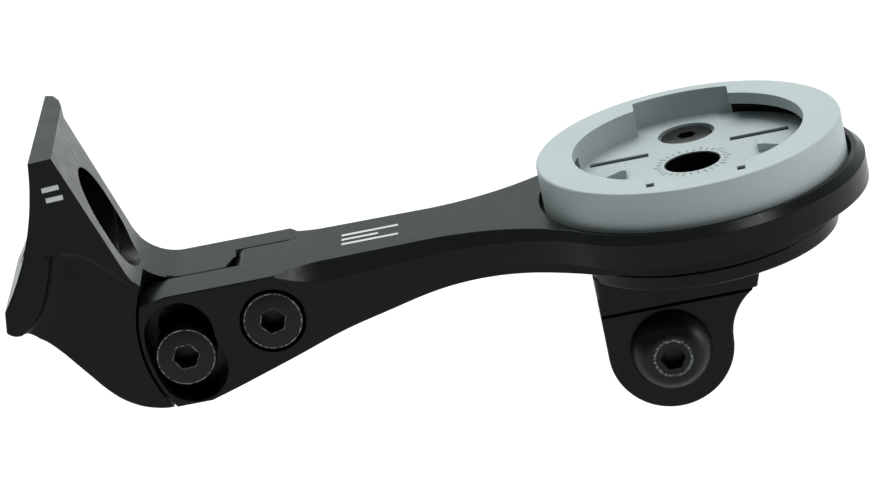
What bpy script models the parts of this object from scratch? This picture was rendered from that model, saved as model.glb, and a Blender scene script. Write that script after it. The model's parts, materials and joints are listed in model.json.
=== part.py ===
"""Out-front mount that carries a handlebar computer and, under it, an action camera.

Frame: +X runs forward along the arm, +Z is up, square to the computer's seat, and the origin is
the centre of the bolt slot on the bracket's back face. Outlines below are in millimetres,
measured from the tilt axis, which runs along Y.
"""

import bpy
import bmesh
from math import acos, asin, atan2, cos, degrees, hypot, pi, radians, sin, sqrt
from mathutils import Matrix, Vector

MM = 0.001
GAP = 0.3                      # clearance kept between touching pieces

# tilt axis, from the origin
PIVOT = Vector((26.4, 0.0, -13.85))

# bracket
BRACKET_NEAR_Y, BRACKET_FAR_Y = -7.7, 8.0
FLANGE_HALF_WIDTH = 9.4
WING_TIP_Y = 16.0
TOP_Z = 25.0
FRONT_TOP_X = -20.5
FRONT_LEAN = 4.9 / 15.0        # how far the front face leans back for each unit of height
FRONT_TURN = 0.9               # degrees about Z, which sets its far side back
TONGUE_TOP_Z = 5.3
TONGUE_FILLET = 6.0
TONGUE_NEAR_Y = -1.5
EAR_NEAR_Y = 3.8
EAR_R = 6.0
HUB_CLEAR_R = 6.4
CHEEK_CLEAR_R = 15.95
BELLY = ((-11.6, -8.2), (-14.3, -8.3), (-16.6, -7.75), (-18.2, -6.95), (-19.65, -5.85),
         (-21.0, -4.35), (-22.3, -2.55), (-23.6, -0.75), (-24.9, 1.05), (-26.25, 2.6),
         (-27.3, 3.5), (-27.9, 4.9))                   # underside of the lower body, (x, z)
BACK_ARC = ((-23.2, 25.0), (-25.1, 17.0), (-30.0, 7.8))
SCOOP = ((-24.4, 13.0), (-23.2, 13.6), (-21.3, 13.6), (-19.8, 12.9), (-18.5, 11.8),
         (-17.1, 10.2), (-16.0, 8.8), (-15.2, 8.3))    # lower edge of the upper side, (x, z)
FOOT_R = 1.7
SLOT_SEAT_R = 5.6
SLOT_R = 2.75
SLOT_UPPER_Z = 14.6
SLOT_LOWER_Z = 13.1
SLOT_SEAT_X = -21.8
SEAT_LOWER_Z = 14.2            # the deep part of the seat ends higher than the slot
LEDGE_X = -16.9                # back of the shallow ledge under it

# arm
CHEEK_HALF_WIDTH = 7.7
CHEEK_TO_X = 1.0
CHEEK_FAR_Y = -1.8
CHEEK_END_R = 15.6
CHEEK_BOTTOM_Z = -8.3
HUB_R = 6.0
HUB_FAR_Y = 3.5
NOTCH_R = 6.5
ARM_TOP_Z = 5.4
ARM_BOTTOM_Z = -0.9
NECK_HALF_WIDTH = 6.7
NECK_X = 20.0
HEAD_X = 51.34
FLANGE_R = 20.0
FLANGE_BOTTOM_Z = 1.6
EDGE_BREAK = 0.15
CHAMFER_FULL_X = 7.0           # where the chamfer reaches its full width
CHAMFER_FADE = 30.0            # length over which it narrows again
NECK_CHAMFER = 1.85
RIM_CHAMFER = 0.9
LOWER_TOP_R, LOWER_BOTTOM_R = 16.0, 16.2
RECESS_R = 18.5
RECESS_FLOOR_Z = 3.6

# screws
M4_HEAD_R = 3.5
M4_HEAD_H = 4.0
M4_R = 2.0
M4_CLEAR_R = 2.3
LOCK_RADIUS = 11.1
LOCK_ANGLE = 192.1             # degrees about the tilt axis, from +X towards +Z
SLOT_UP = 14.0                 # degrees of slot above the lock screw
SLOT_DOWN = 9.0
COUNTERBORE_R = 3.9
LOCK_SEAT_R = 4.1
LOCK_SLOT_R = 2.6
HEAD_PROUD = 0.1
HEX_AF = 2.6

# insert
INSERT_R = 18.0
INSERT_TOP_Z = 9.95
INSERT_FLOOR_Z = 6.65
LIP_R = 13.65
LIP_BOTTOM_Z = 8.55
UNDERCUT_R = 16.1
NOTCH_FROM, NOTCH_TO = 65.0, 114.5
UNDERCUT_FROM = -17.0
CENTRE_HOLE_R = 3.35
INSERT_SCREW_Y = 10.4
M3_HEAD_R = 3.1
M3_R = 1.5
SLIT_Y = 5.3
SLIT_HALF = 0.6
SLIT_FROM, SLIT_TO = 4.9, 11.9
WEDGE_FROM, WEDGE_TO, WEDGE_HALF = 7.8, 11.9, 1.3
WEDGE_HEIGHT = 1.0

# camera adapter
PLATE_R = 15.7
PLATE_FROM_X = 37.4
PLATE_BOTTOM_Z = -3.0
BLOCK_TO_X = 53.5
BLOCK_HALF_Y = 8.5
BLOCK_BOTTOM_Z = -5.0
BAR_TO_X = 56.6
BAR_HALF_Y = 8.8
BAR_BOTTOM_Z = -7.3
EAR_CENTRE = (44.8, -12.9)
PRONG_R = 7.4
PRONGS = ((-7.7, -4.6), (-1.5, 1.5), (4.6, 7.7))
PRONG_FLARE_R = 6.8
PRONG_FLARE_Z = -13.4
M5_R = 2.5
M5_CLEAR_R = 2.8
M5_HEAD_R = 4.75
M5_HEAD_H = 2.7
NUT_AF = 8.0
NUT_H = 4.0


# ---- scene helpers ---------------------------------------------------------------------------

def clear_scene():
    for obj in list(bpy.data.objects):
        bpy.data.objects.remove(obj, do_unlink=True)


def material(name, color, roughness, metallic=0.0):
    mat = bpy.data.materials.new(name)
    mat.use_nodes = True
    shader = mat.node_tree.nodes["Principled BSDF"]
    shader.inputs["Base Color"].default_value = (*color, 1.0)
    shader.inputs["Roughness"].default_value = roughness
    shader.inputs["Metallic"].default_value = metallic
    mat.diffuse_color = (*color, 1.0)
    return mat


def empty(name, location):
    obj = bpy.data.objects.new(name, None)
    obj.location = location * MM
    bpy.context.collection.objects.link(obj)
    return obj


def solid(bm, name="tool"):
    """Turns a closed bmesh in millimetres into an object with its faces pointing out."""
    bmesh.ops.recalc_face_normals(bm, faces=bm.faces)
    if bm.calc_volume(signed=True) < 0:
        bmesh.ops.reverse_faces(bm, faces=bm.faces)
    mesh = bpy.data.meshes.new(name)
    bm.to_mesh(mesh)
    bm.free()
    obj = bpy.data.objects.new(name, mesh)
    bpy.context.collection.objects.link(obj)
    return obj


def combine(target, tool, operation):
    """Applies one exact Boolean of target with tool, and removes the tool."""
    mod = target.modifiers.new("combine", "BOOLEAN")
    mod.object = tool
    mod.operation = operation
    mod.solver = "EXACT"
    graph = bpy.context.evaluated_depsgraph_get()
    mesh = bpy.data.meshes.new_from_object(target.evaluated_get(graph))
    target.modifiers.clear()
    target.data = mesh
    bpy.data.objects.remove(tool, do_unlink=True)
    return target


def cut(target, *tools):
    for tool in tools:
        combine(target, tool, "DIFFERENCE")
    return target


def join(target, *tools):
    for tool in tools:
        combine(target, tool, "UNION")
    return target


def finish(obj, name, mat, parent):
    """Names a finished piece, scales it to metres, shades it and hangs it on its empty."""
    obj.name = name
    obj.data.name = name
    obj.data.transform(Matrix.Scale(MM, 4))
    bm = bmesh.new()
    bm.from_mesh(obj.data)
    bmesh.ops.remove_doubles(bm, verts=bm.verts, dist=0.000002)
    bmesh.ops.dissolve_degenerate(bm, edges=bm.edges, dist=0.000002)
    bm.to_mesh(obj.data)
    bm.free()
    obj.data.materials.clear()
    obj.data.materials.append(mat)
    obj.data.shade_smooth()
    obj.data.set_sharp_from_angle(angle=radians(30))
    obj.parent = parent
    return obj


# ---- shapes ----------------------------------------------------------------------------------

def arc(cx, cy, r, start, end, steps):
    """Points on a circle from start to end, in degrees."""
    points = []
    for i in range(steps + 1):
        a = radians(start + (end - start) * i / steps)
        points.append((cx + r * cos(a), cy + r * sin(a)))
    return points


def arc_through(a, b, c, steps):
    """Points on the circle that passes through a, b and c, from a to c."""
    ax, ay = a
    bx, by = b
    cx, cy = c
    d = 2 * (ax * (by - cy) + bx * (cy - ay) + cx * (ay - by))
    a2, b2, c2 = ax * ax + ay * ay, bx * bx + by * by, cx * cx + cy * cy
    ux = (a2 * (by - cy) + b2 * (cy - ay) + c2 * (ay - by)) / d
    uy = (a2 * (cx - bx) + b2 * (ax - cx) + c2 * (bx - ax)) / d
    start = degrees(atan2(ay - uy, ax - ux))
    end = degrees(atan2(cy - uy, cx - ux))
    turn = (end - start + 180) % 360 - 180
    return arc(ux, uy, hypot(ax - ux, ay - uy), start, start + turn, steps)


def prism(points, low, high, axis):
    """Extrudes an outline: along Y for an (x, z) outline, along Z for an (x, y) one."""
    bm = bmesh.new()
    ends = []
    for level in (low, high):
        if axis == "Y":
            ends.append([bm.verts.new((u, level, v)) for u, v in points])
        elif axis == "Z":
            ends.append([bm.verts.new((u, v, level)) for u, v in points])
        else:
            ends.append([bm.verts.new((level, u, v)) for u, v in points])
    count = len(points)
    bm.faces.new(ends[0])
    bm.faces.new(ends[1])
    for i in range(count):
        j = (i + 1) % count
        bm.faces.new((ends[0][i], ends[0][j], ends[1][j], ends[1][i]))
    return solid(bm)


def stacked(loops):
    """Skins closed loops of (x, y, z) points, all with the same number of points."""
    bm = bmesh.new()
    rings = [[bm.verts.new(point) for point in loop] for loop in loops]
    bm.faces.new(rings[0])
    bm.faces.new(rings[-1])
    for lower, upper in zip(rings, rings[1:]):
        for i in range(len(lower)):
            j = (i + 1) % len(lower)
            bm.faces.new((lower[i], lower[j], upper[j], upper[i]))
    return solid(bm)


def level(outline, z):
    return [(x, y, z) for x, y in outline]


def inset(outline, amounts):
    """Moves each point of an (x, y) outline in, square to it, by its own amount."""
    moved = []
    for i, (x, y) in enumerate(outline):
        ahead = Vector(outline[(i + 1) % len(outline)])
        behind = Vector(outline[i - 1])
        along = (ahead - behind).normalized()
        moved.append((x + along.y * amounts[i], y - along.x * amounts[i]))
    return moved


def turned(profile, steps, centre, axis="Z"):
    """Spins a closed (radius, height) outline about an axis through centre."""
    bm = bmesh.new()
    rings = []
    for r, h in profile:
        if r < 1e-6:
            rings.append([bm.verts.new((0, 0, h))])
        else:
            ring = []
            for i in range(steps):
                a = 2 * pi * i / steps
                ring.append(bm.verts.new((r * cos(a), r * sin(a), h)))
            rings.append(ring)
    for k, ring in enumerate(rings):
        other = rings[(k + 1) % len(rings)]
        for i in range(steps):
            j = (i + 1) % steps
            corners = []
            for vert in (ring[i % len(ring)], ring[j % len(ring)],
                         other[j % len(other)], other[i % len(other)]):
                if vert not in corners:
                    corners.append(vert)
            if len(corners) > 2:
                bm.faces.new(corners)
    if axis == "Y":
        bmesh.ops.rotate(bm, verts=bm.verts, matrix=Matrix.Rotation(radians(-90), 3, "X"))
    bmesh.ops.translate(bm, verts=bm.verts, vec=Vector(centre))
    return solid(bm)


def rod(r, low, high, x, other, axis="Y", steps=32):
    """A plain cylinder from low to high along Y at (x, z), or along Z at (x, y)."""
    return prism(arc(x, other, r, 0, 360, steps)[:-1], low, high, axis)


def stepped_cavity(levels, outlines, step, x):
    """Closed cutter about the vertical through (x, 0): between each two levels its outline is
    a list of (radius, start, end) arcs, with the same number of arcs in each outline."""
    rings = []
    for arcs in outlines:
        ring = []
        for (r, start, end), (_, first, last) in zip(arcs, outlines[0]):
            ring += arc(x, 0, r, start, end, max(2, round((last - first) / step)))
        rings.append(ring)
    bm = bmesh.new()
    loops = []
    for k, ring in enumerate(rings):
        for level in levels[k:k + 2]:
            loops.append([bm.verts.new((px, py, level)) for px, py in ring])
    count = len(rings[0])
    bm.faces.new(loops[0])
    bm.faces.new(loops[-1])
    for lower, upper in zip(loops, loops[1:]):
        for i in range(count):
            j = (i + 1) % count
            bm.faces.new((lower[i], lower[j], upper[j], upper[i]))
    bmesh.ops.remove_doubles(bm, verts=bm.verts, dist=0.001)
    return solid(bm)


def curved_slot(r, low, high, steps=12):
    """Slot about the tilt axis that the lock screw runs in, with round ends."""
    first = LOCK_ANGLE - SLOT_UP
    last = LOCK_ANGLE + SLOT_DOWN
    points = arc(0, 0, LOCK_RADIUS + r, first, last, steps)
    lx, lz = LOCK_RADIUS * cos(radians(last)), LOCK_RADIUS * sin(radians(last))
    points += arc(lx, lz, r, last, last + 180, steps)[1:]
    points += arc(0, 0, LOCK_RADIUS - r, last, first, steps)[1:]
    fx, fz = LOCK_RADIUS * cos(radians(first)), LOCK_RADIUS * sin(radians(first))
    points += arc(fx, fz, r, first + 180, first + 360, steps)[1:-1]
    return prism(points, low, high, "Y")


def hexagon(across_flats, low, high, x, z, turn=0.0):
    points = arc(x, z, across_flats / sqrt(3), turn, turn + 300, 5)
    return prism(points, low, high, "Y")


def front_x(z):
    """X of the bracket's front face at a height."""
    return FRONT_TOP_X + (TOP_Z - z) * FRONT_LEAN


# ---- bracket ---------------------------------------------------------------------------------

def front_cutter():
    """Everything in front of the bracket's front face and above the tongue."""
    lean = degrees(atan2(1, FRONT_LEAN))
    centre_z = TONGUE_TOP_Z + TONGUE_FILLET
    centre_x = front_x(centre_z) + TONGUE_FILLET / sin(radians(lean))
    above = TOP_Z + 10
    outline = [(front_x(above), above)]
    outline += arc(centre_x, centre_z, TONGUE_FILLET, 270 - lean, 270, 7)
    outline += [(20.0, TONGUE_TOP_Z), (20.0, above)]
    cutter = prism(outline, -25.0, 25.0, "Y")
    corner = Vector((FRONT_TOP_X, -FLANGE_HALF_WIDTH, 0))
    turn = Matrix.Rotation(radians(FRONT_TURN), 4, "Z")
    cutter.data.transform(Matrix.Translation(corner) @ turn @ Matrix.Translation(-corner))
    return cutter


def make_bracket():
    # tongue, belly and the lower body, as wide as the arm
    side = [(-22.5, 14.5), (-8.0, 14.5), (HUB_CLEAR_R, 8.0), (HUB_CLEAR_R, -4.0), (-7.6, -7.6)]
    side += list(BELLY) + [(-26.6, 9.0)]
    body = prism(side, BRACKET_NEAR_Y, BRACKET_FAR_Y, "Y")

    # curved flange against the stem
    back = arc_through(*BACK_ARC, 8)
    foot = back[4:] + arc(-29.0, 6.3, FOOT_R, 215, 285, 3)
    foot += [(-26.5, 6.5), (-25.2, 8.4), (-23.9, 11.4), (-23.2, 13.7), (-22.5, back[4][1])]
    join(body, prism(foot, -FLANGE_HALF_WIDTH, FLANGE_HALF_WIDTH, "Y"))

    # upper wedge: it narrows towards the front face, and its far edge runs out to a wing
    outline = [(-32.0, -FLANGE_HALF_WIDTH), (-24.0, -FLANGE_HALF_WIDTH),
               (-13.0, BRACKET_NEAR_Y - 0.1), (-13.0, BRACKET_FAR_Y + 0.1), (FRONT_TOP_X, 8.6),
               (BACK_ARC[0][0], WING_TIP_Y), (-32.0, WING_TIP_Y)]
    wedge = prism(outline, 0.0, TOP_Z + 5, "Z")
    upper = back[:6] + list(SCOOP) + [(-14.0, 8.2), (-14.0, TOP_Z)]
    combine(wedge, prism(upper, -12.0, 20.0, "Y"), "INTERSECT")
    join(body, wedge)
    cut(body, front_cutter())

    # room for the arm's cheek, its hub and its rounded end
    cut(body, rod(CHEEK_CLEAR_R, -12.0, TONGUE_NEAR_Y, 0, 0, steps=96))
    cut(body, rod(HUB_CLEAR_R, -12.5, EAR_NEAR_Y, 0, 0, steps=48))
    beyond_ear = prism([(-1.0, -12), (HUB_CLEAR_R + 2, -12), (HUB_CLEAR_R + 2, 9), (-1.0, 9)],
                       -12.0, 12.0, "Y")
    combine(beyond_ear, rod(EAR_R, -13.0, 13.0, 0, 0, steps=48), "DIFFERENCE")
    cut(body, beyond_ear)

    # bolt slot: a wide seat from the front, a shallow ledge under it and a narrow slot through
    for r, low_z, back_x in ((SLOT_SEAT_R, SEAT_LOWER_Z, SLOT_SEAT_X),
                             (SLOT_SEAT_R, SLOT_LOWER_Z, LEDGE_X), (SLOT_R, SLOT_LOWER_Z, -50.0)):
        slot = arc(0, SLOT_UPPER_Z, r, 0, 180, 10) + arc(0, low_z, r, 180, 360, 10)
        cut(body, prism(slot, back_x, 0.0, "X"))

    lx, lz = lock_place()
    cut(body, rod(M4_R, -3.0, 7.0, lx, lz))
    cut(body, rod(M4_R, 0.0, 12.0, 0, 0))
    return body


def lock_place():
    a = radians(LOCK_ANGLE)
    return LOCK_RADIUS * cos(a), LOCK_RADIUS * sin(a)


# ---- arm -------------------------------------------------------------------------------------

def half_plan(head_r, half_width, steps=8):
    """Half of the arm's outline from above, from the neck out to a head of the given radius."""
    reach = HEAD_X - NECK_X
    rho = (reach ** 2 + half_width ** 2 - head_r ** 2) / (2 * (head_r - half_width))
    cy = half_width + rho
    touch = degrees(atan2(cy, -reach))
    flare = arc(NECK_X, cy, rho, -90, touch - 180, steps)
    head = arc(HEAD_X, 0, head_r, touch, 0, 3 * steps)
    return flare + head[1:]


def plan(head_r):
    """The arm's outline from above, clockwise from the cheek's end on the +Y side."""
    start = [(-17.0, CHEEK_HALF_WIDTH), (CHEEK_TO_X, CHEEK_HALF_WIDTH)]
    taper = (CHEEK_HALF_WIDTH - NECK_HALF_WIDTH) / (NECK_X - CHEEK_TO_X)
    for x in (2.5, 4.5, 7.0):
        start.append((x, CHEEK_HALF_WIDTH - taper * (x - CHEEK_TO_X)))
    far = start + half_plan(head_r, NECK_HALF_WIDTH)
    near = [(x, -y) for x, y in far[:-1]]
    return far + near[::-1]


def chamfer_at(x):
    """Width of the arm's top chamfer: it runs in past the cheek and narrows along the neck."""
    if x <= CHEEK_TO_X:
        return EDGE_BREAK
    if x <= CHAMFER_FULL_X:
        way = (x - CHEEK_TO_X) / (CHAMFER_FULL_X - CHEEK_TO_X)
        return EDGE_BREAK + (NECK_CHAMFER - EDGE_BREAK) * sin(way * pi / 2)
    rest = min((x - CHAMFER_FULL_X) / CHAMFER_FADE, 1.0)
    return NECK_CHAMFER + (RIM_CHAMFER - NECK_CHAMFER) * rest


def make_arm():
    # lower layer: it widens downwards under the head
    upper = plan(LOWER_TOP_R)
    lower = plan(LOWER_BOTTOM_R)
    body = stacked([level(lower, -12.0), level(lower, ARM_BOTTOM_Z),
                    level(upper, FLANGE_BOTTOM_Z), level(upper, FLANGE_BOTTOM_Z + 1)])

    # top layer with the flange, and the chamfer round its upper edge
    full = plan(FLANGE_R)
    widths = [chamfer_at(x) for x, _ in full]
    edge = [(x, y, ARM_TOP_Z - c) for (x, y), c in zip(full, widths)]
    top = level(inset(full, widths), ARM_TOP_Z)
    join(body, stacked([level(full, FLANGE_BOTTOM_Z), edge, top]))

    # outline from the side: round cheek end, belly and arched underside
    low_angle = 180 + degrees(asin(-CHEEK_BOTTOM_Z / CHEEK_END_R))
    end = arc(0, 0, CHEEK_END_R, 162, low_angle, 14)
    under = arc_through((8.0, -2.95), (14.0, -1.6), (20.0, -0.4), 3)
    under += arc_through((24.0, -0.05), (29.0, -0.05), (38.0, ARM_BOTTOM_Z), 5)
    side = [(-11.8, ARM_TOP_Z)] + end + [(-9.0, CHEEK_BOTTOM_Z)] + under
    side += [(80.0, ARM_BOTTOM_Z), (80.0, 12.0), (-11.8, 12.0)]
    combine(body, prism(side, -30, 30, "Y"), "INTERSECT")
    cut(body, rod(RECESS_R, RECESS_FLOOR_Z, 12, HEAD_X, 0, "Z", 96))

    # half-lap with the bracket's tongue and ear
    lap = [(-20, -12), (-20, 8), (0, 8), (0, -12)]
    lap_cutter = prism(lap, CHEEK_FAR_Y, 12, "Y")
    combine(lap_cutter, rod(HUB_R, -12, HUB_FAR_Y, 0, 0, steps=48), "DIFFERENCE")
    cut(body, lap_cutter)
    cut(body, rod(NOTCH_R, HUB_FAR_Y, 12, 0, 0, steps=48))

    # tilt screw, lock screw and their counterbores
    cut(body, rod(M4_CLEAR_R, -12, 12, 0, 0))
    seat_y = -CHEEK_HALF_WIDTH - HEAD_PROUD + M4_HEAD_H + GAP
    cut(body, rod(COUNTERBORE_R, -12, seat_y, 0, 0))
    cut(body, curved_slot(LOCK_SEAT_R, -12, seat_y))
    cut(body, curved_slot(LOCK_SLOT_R, -12, 12))

    for y in (-INSERT_SCREW_Y, INSERT_SCREW_Y):
        cut(body, rod(M3_R + GAP, -6, 8, HEAD_X, y, "Z", 24))
    return body


# ---- screws ----------------------------------------------------------------------------------

def cap_screw(x, z, head_r, head_h, r, tip_r, step_y, tip_y):
    """Socket-head screw along Y with its head at the near side; tip_r is its threaded part."""
    top = -CHEEK_HALF_WIDTH - HEAD_PROUD
    seat = top + head_h
    profile = ((0, top), (head_r - 0.4, top), (head_r, top + 0.4), (head_r, seat), (r, seat),
               (r, step_y), (tip_r, step_y), (tip_r, tip_y), (0, tip_y))
    screw = turned(profile, 32, (x, 0, z), "Y")
    return cut(screw, hexagon(HEX_AF, top - 1, top + 2.2, x, z, 15))


def insert_screw(y):
    """Countersunk screw down through the insert and the arm into the camera adapter."""
    top = INSERT_FLOOR_Z - 0.2
    cone = M3_HEAD_R - M3_R
    profile = ((0, top), (M3_HEAD_R, top), (M3_HEAD_R, top - 0.2), (M3_R, top - 0.2 - cone),
               (M3_R, PLATE_BOTTOM_Z + 0.4), (0, PLATE_BOTTOM_Z + 0.4))
    screw = turned(profile, 24, (HEAD_X, y, 0))
    points = arc(HEAD_X, y, 2.0 / sqrt(3), 0, 300, 5)
    return cut(screw, prism(points, top - 1.1, top + 1, "Z"))


# ---- insert ----------------------------------------------------------------------------------

def make_insert():
    bottom = RECESS_FLOOR_Z + GAP
    body = rod(INSERT_R, bottom, INSERT_TOP_Z, HEAD_X, 0, "Z", 96)
    under, lip = [], []
    wide_from = degrees(acos(LIP_R / UNDERCUT_R * cos(radians(NOTCH_FROM))))
    wide_to = degrees(acos(LIP_R / UNDERCUT_R * cos(radians(NOTCH_TO))))
    for turn in (0, 180):
        first, second, third = (turn + a for a in (UNDERCUT_FROM, NOTCH_FROM, NOTCH_TO))
        last = turn + 180 + UNDERCUT_FROM
        under += [(UNDERCUT_R, first, second), (UNDERCUT_R, second, turn + wide_to),
                  (LIP_R, third, last)]
        lip += [(LIP_R, first, second), (UNDERCUT_R, turn + wide_from, turn + wide_to),
                (LIP_R, third, last)]
    levels = (INSERT_FLOOR_Z, LIP_BOTTOM_Z, INSERT_TOP_Z + 2)
    cut(body, stepped_cavity(levels, (under, lip), 6, HEAD_X))

    # two spring fingers, each between two slits, with a wedge that falls away outwards
    for side in (-1, 1):
        for y in (-SLIT_Y, SLIT_Y):
            x0, x1 = HEAD_X + side * SLIT_FROM, HEAD_X + side * SLIT_TO
            slit = [(x0, y - SLIT_HALF), (x1, y - SLIT_HALF),
                    (x1, y + SLIT_HALF), (x0, y + SLIT_HALF)]
            cut(body, prism(slit, 0, INSERT_FLOOR_Z + 1, "Z"))
        base = INSERT_FLOOR_Z - 0.5
        crest = INSERT_FLOOR_Z + WEDGE_HEIGHT
        wedge = [(HEAD_X + side * u, v) for u, v in
                 ((WEDGE_FROM, base), (WEDGE_FROM, crest), (WEDGE_FROM + 0.6, crest),
                  (WEDGE_TO, INSERT_FLOOR_Z + 0.1), (WEDGE_TO, base))]
        join(body, prism(wedge, -WEDGE_HALF, WEDGE_HALF, "Y"))

    # centre hole, and countersunk holes for the two screws
    cut(body, rod(CENTRE_HOLE_R, 0, 12, HEAD_X, 0, "Z", 32))
    top = INSERT_FLOOR_Z
    hole = M3_R + GAP
    wide = M3_HEAD_R + GAP
    for y in (-INSERT_SCREW_Y, INSERT_SCREW_Y):
        profile = ((0, -1), (hole, -1), (hole, top - 0.5 - (wide - hole)), (wide, top - 0.5),
                   (wide, top + 1), (0, top + 1))
        cut(body, turned(profile, 24, (HEAD_X, y, 0)))
    return body


# ---- camera adapter --------------------------------------------------------------------------

def make_adapter():
    # round plate against the arm's head, with a flat end, and a block under it
    top = ARM_BOTTOM_Z - GAP
    reach = degrees(acos((HEAD_X - PLATE_FROM_X) / PLATE_R))
    body = prism(arc(HEAD_X, 0, PLATE_R, 180 + reach, 540 - reach, 48), PLATE_BOTTOM_Z, top, "Z")
    block = [(PLATE_FROM_X, -BLOCK_HALF_Y), (BLOCK_TO_X, -BLOCK_HALF_Y),
             (BLOCK_TO_X, BLOCK_HALF_Y), (PLATE_FROM_X, BLOCK_HALF_Y)]
    join(body, prism(block, BLOCK_BOTTOM_Z, PLATE_BOTTOM_Z + 0.5, "Z"))

    # one side outline makes both the bar under the block and the three prongs below it
    ex, ez = EAR_CENTRE
    rise = PRONG_FLARE_Z - ez
    flare_x = ex + sqrt((PRONG_R + PRONG_FLARE_R) ** 2 - rise ** 2)
    touch = degrees(atan2(rise, flare_x - ex))
    ear = arc(ex, ez, PRONG_R, 180, 360 + touch, 20)
    ear += arc(flare_x, PRONG_FLARE_Z, PRONG_FLARE_R, 180 + touch, 116, 7)[1:]
    ear += [(BAR_TO_X, BLOCK_BOTTOM_Z - 0.4), (BAR_TO_X, BLOCK_BOTTOM_Z),
            (BLOCK_TO_X - 2, BLOCK_BOTTOM_Z + 0.5), (PLATE_FROM_X, BLOCK_BOTTOM_Z + 0.5)]
    bar = prism(ear, -BAR_HALF_Y, BAR_HALF_Y, "Y")
    cut(bar, prism([(30, -30), (70, -30), (70, BAR_BOTTOM_Z), (30, BAR_BOTTOM_Z)], -15, 15, "Y"))
    join(body, bar)
    for low, high in PRONGS:
        join(body, prism(ear, low, high, "Y"))
    cut(body, rod(M5_CLEAR_R, -12, 12, ex, ez))
    for y in (-INSERT_SCREW_Y, INSERT_SCREW_Y):
        cut(body, rod(M3_R + GAP, PLATE_BOTTOM_Z - 1, 0, HEAD_X, y, "Z", 24))
    return body


def make_camera_bolt():
    ex, ez = EAR_CENTRE
    seat = PRONGS[0][0] - GAP
    dome = arc(0, 0, 1, 0, 62, 5)
    profile = [(0, seat - M5_HEAD_H)]
    profile += [(M5_HEAD_R * c, seat - M5_HEAD_H * s / sin(radians(62))) for c, s in dome[::-1]]
    profile += [(M5_R, seat), (M5_R, PRONGS[2][1] + NUT_H + 0.8), (0, PRONGS[2][1] + NUT_H + 0.8)]
    bolt = turned(profile, 32, (ex, 0, ez), "Y")
    return cut(bolt, hexagon(HEX_AF, seat - 4, seat - 0.8, ex, ez, 0))


def make_camera_nut():
    ex, ez = EAR_CENTRE
    low = PRONGS[2][1] + GAP
    nut = hexagon(NUT_AF, low, low + NUT_H, ex, ez, 0)
    return cut(nut, rod(M5_CLEAR_R, 0, 20, ex, ez))


# ---- assembly --------------------------------------------------------------------------------

def build():
    clear_scene()
    black = material("black_anodised", (0.018, 0.019, 0.019), 0.28, 0.9)
    grey = material("grey_moulded", (0.62, 0.66, 0.65), 0.45)
    steel = material("black_oxide_steel", (0.03, 0.03, 0.03), 0.35, 0.9)

    fixed = empty("bracket_frame", PIVOT)
    tilt = empty("tilt_axis", PIVOT)
    lx, lz = lock_place()

    finish(make_bracket(), "stem_bracket", black, fixed)
    pivot_screw = cap_screw(0, 0, M4_HEAD_R, M4_HEAD_H, M4_R, M4_R - GAP, HUB_FAR_Y, 7.6)
    finish(pivot_screw, "tilt_screw", steel, fixed)
    lock_screw = cap_screw(lx, lz, M4_HEAD_R, M4_HEAD_H, M4_R, M4_R - GAP, CHEEK_FAR_Y, 6.4)
    finish(lock_screw, "lock_screw", steel, fixed)

    finish(make_arm(), "arm", black, tilt)
    finish(make_insert(), "computer_insert", grey, tilt)
    finish(insert_screw(INSERT_SCREW_Y), "insert_screw_far", steel, tilt)
    finish(insert_screw(-INSERT_SCREW_Y), "insert_screw_near", steel, tilt)
    finish(make_adapter(), "camera_adapter", black, tilt)
    finish(make_camera_bolt(), "camera_bolt", steel, tilt)
    finish(make_camera_nut(), "camera_nut", steel, tilt)


build()
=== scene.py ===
import json
import bpy
import bmesh
from math import acos, asin, atan2, cos, degrees, hypot, pi, radians, sin, sqrt
from mathutils import Matrix, Vector


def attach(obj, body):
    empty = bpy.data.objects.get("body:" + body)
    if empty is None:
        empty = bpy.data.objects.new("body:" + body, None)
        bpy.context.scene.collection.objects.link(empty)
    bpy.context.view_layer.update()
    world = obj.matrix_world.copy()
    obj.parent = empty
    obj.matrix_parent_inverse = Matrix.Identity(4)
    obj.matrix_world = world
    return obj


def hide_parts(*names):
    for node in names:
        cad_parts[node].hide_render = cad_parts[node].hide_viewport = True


# Out-front computer mount. Outlines are in millimetres from the tilt axis, as in the CAD.

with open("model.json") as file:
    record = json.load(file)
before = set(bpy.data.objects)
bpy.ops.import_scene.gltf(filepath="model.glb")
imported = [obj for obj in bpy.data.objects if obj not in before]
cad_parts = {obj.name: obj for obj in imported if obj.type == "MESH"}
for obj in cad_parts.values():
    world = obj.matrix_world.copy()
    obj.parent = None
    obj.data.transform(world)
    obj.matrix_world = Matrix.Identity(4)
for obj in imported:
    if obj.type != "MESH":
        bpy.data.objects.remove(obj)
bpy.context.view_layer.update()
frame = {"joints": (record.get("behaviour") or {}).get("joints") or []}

MM = 0.001
GAP = 0.3
PIVOT = Vector(frame["joints"][0]["pos_m"])

# bracket
BODY_NEAR_Y, BODY_FAR_Y = -7.7, 8.0
FLANGE_HALF_WIDTH = 9.4
WING_TIP_Y = 16.0
SIDE_TAPER_FROM_X, SIDE_TAPER = -24.0, 1.6 / 11
TOP_Z = 25.0
FRONT_TOP_X = -20.5
FRONT_LEAN = 4.9 / 15.0
FRONT_TURN = 0.9
TONGUE_TOP_Z = 5.3
TONGUE_FILLET = 6.0
TONGUE_NEAR_Y = -1.5
EAR_NEAR_Y = 3.8
EAR_R = 6.0
HUB_CLEAR_R = 6.4
CHEEK_CLEAR_R = 15.95
BELLY = ((-11.6, -8.2), (-14.3, -8.3), (-16.6, -7.75), (-18.2, -6.95), (-19.65, -5.85),
         (-21.0, -4.35), (-22.3, -2.55), (-23.6, -0.75), (-24.9, 1.05), (-26.25, 2.6),
         (-27.3, 3.5), (-27.9, 4.9))
BACK_ARC = ((-23.2, 25.0), (-25.1, 17.0), (-30.0, 7.8))
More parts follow.
